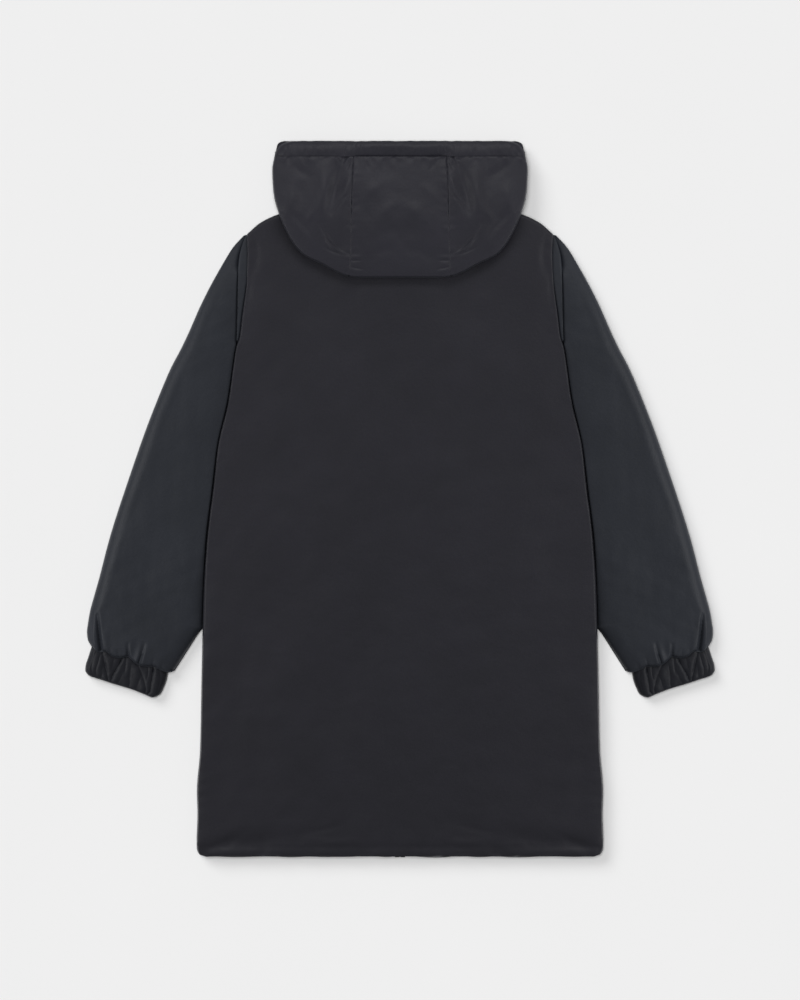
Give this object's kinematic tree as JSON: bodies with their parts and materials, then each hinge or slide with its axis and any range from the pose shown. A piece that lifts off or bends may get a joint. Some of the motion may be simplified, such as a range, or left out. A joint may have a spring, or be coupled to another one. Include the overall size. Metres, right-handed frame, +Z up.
{
  "type": "parka",
  "caption": "Dark padded parka with a hood, a centre-front zip and gathered cuffs, laid flat on its front with the back uppermost and the hood folded down.",
  "frame": {"origin": "centre of the garment's outline, on the surface that it lies on", "axes": "+Y from the hem to the hood, +X to the right as seen from above, +Z up from the surface; the garment lies on its front, so the wearer's left is at -X"},
  "size_m": [0.8812, 1.0028, 0.041],
  "materials": {
    "body_shell": "matt woven shell cloth, charcoal black",
    "sleeve_shell": "matt woven shell cloth, charcoal black",
    "cuff_shell": "matt woven shell cloth, gathered on elastic",
    "hood_shell": "matt woven shell cloth, charcoal black",
    "zip_chain": "woven tape with moulded teeth, black",
    "zip_metal": "black enamel, semi-gloss"
  },
  "bodies": {
    "coat": {"back": "body_shell", "front_left": "body_shell", "front_right": "body_shell", "sleeve_left": "sleeve_shell", "sleeve_right": "sleeve_shell", "cuff_left": "cuff_shell", "cuff_right": "cuff_shell", "hood_centre": "hood_shell", "hood_side_left": "hood_shell", "hood_side_right": "hood_shell", "hood_casing": "hood_shell", "hood_layers": "hood_shell", "zip_left": "zip_chain", "zip_right": "zip_chain", "zip_slider": "zip_metal"},
    "pull_tab": {"zip_pull": "zip_metal"}
  },
  "joints": [
    {"name": "pull_tab_swing", "type": "hinge", "parent": "coat", "child": "pull_tab", "pos_m": [0, 0.341, 0.0022], "axis": [1, 0, 0], "range_deg": [0, 175]}
  ]
}
